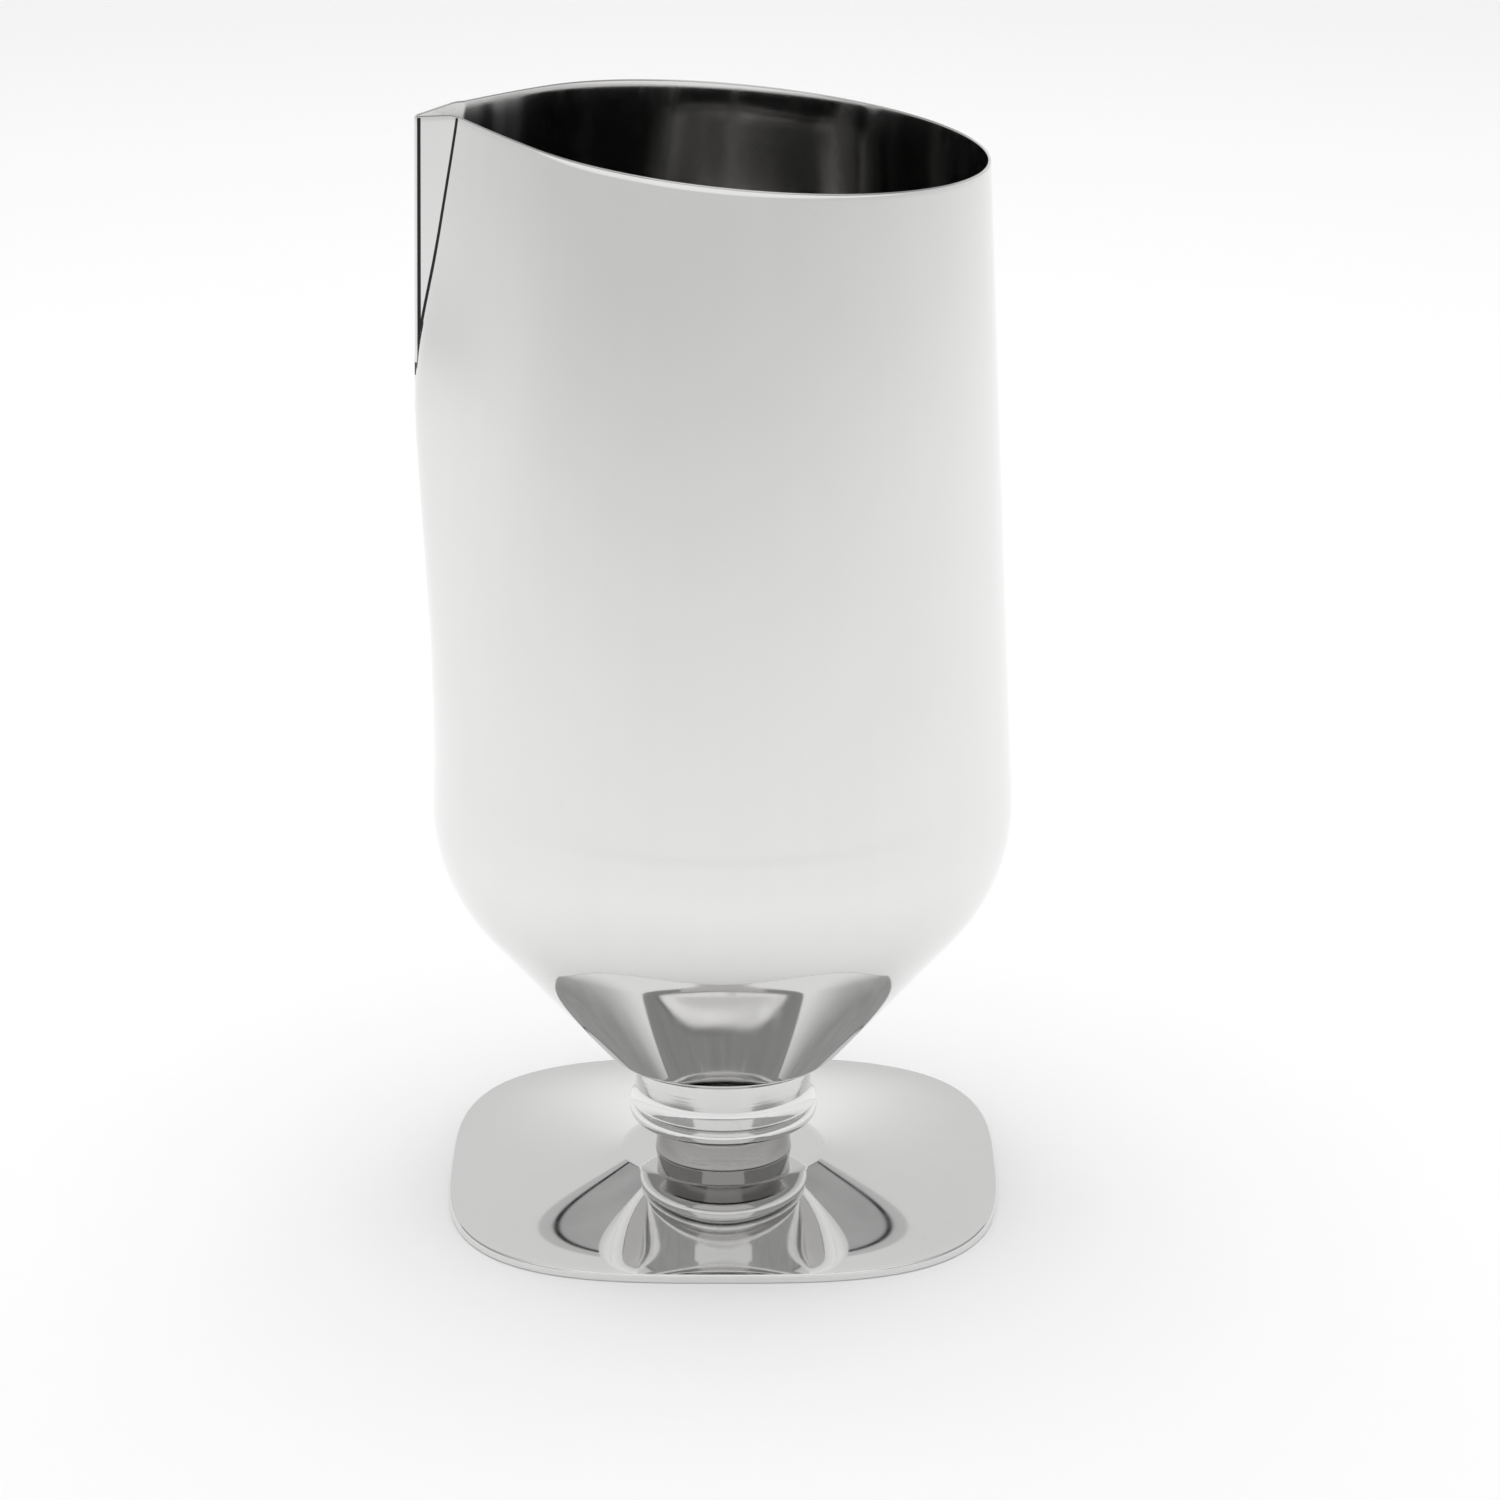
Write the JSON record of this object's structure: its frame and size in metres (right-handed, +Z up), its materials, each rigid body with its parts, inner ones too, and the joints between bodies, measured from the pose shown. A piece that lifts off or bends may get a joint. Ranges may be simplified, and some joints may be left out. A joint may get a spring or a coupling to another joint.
{
  "type": "footed mixing cup",
  "caption": "Polished metal bar mixing cup with a slanted rim and pinched pouring spout, on a turned collar, a short neck and a rounded square foot.",
  "frame": {"origin": "centre of the underside of the foot, on the table", "axes": "+Z up along the neck, the spout points towards -X, +Y completes the right-handed frame"},
  "size_m": [0.0907, 0.089, 0.1701],
  "materials": {
    "bowl_polish": "mirror polish",
    "foot_polish": "mirror polish",
    "neck_polish": "polished, faint turning lines",
    "collar_turned": "fine turned satin",
    "boss_steel": "machined",
    "hardware": "plain stainless"
  },
  "bodies": {
    "root": {"bowl": "bowl_polish", "mounting_boss": "boss_steel", "collar": "collar_turned", "neck": "neck_polish", "foot": "foot_polish", "plain_washer": "hardware", "lock_washer": "hardware", "fixing_screw": "hardware"}
  },
  "joints": []
}
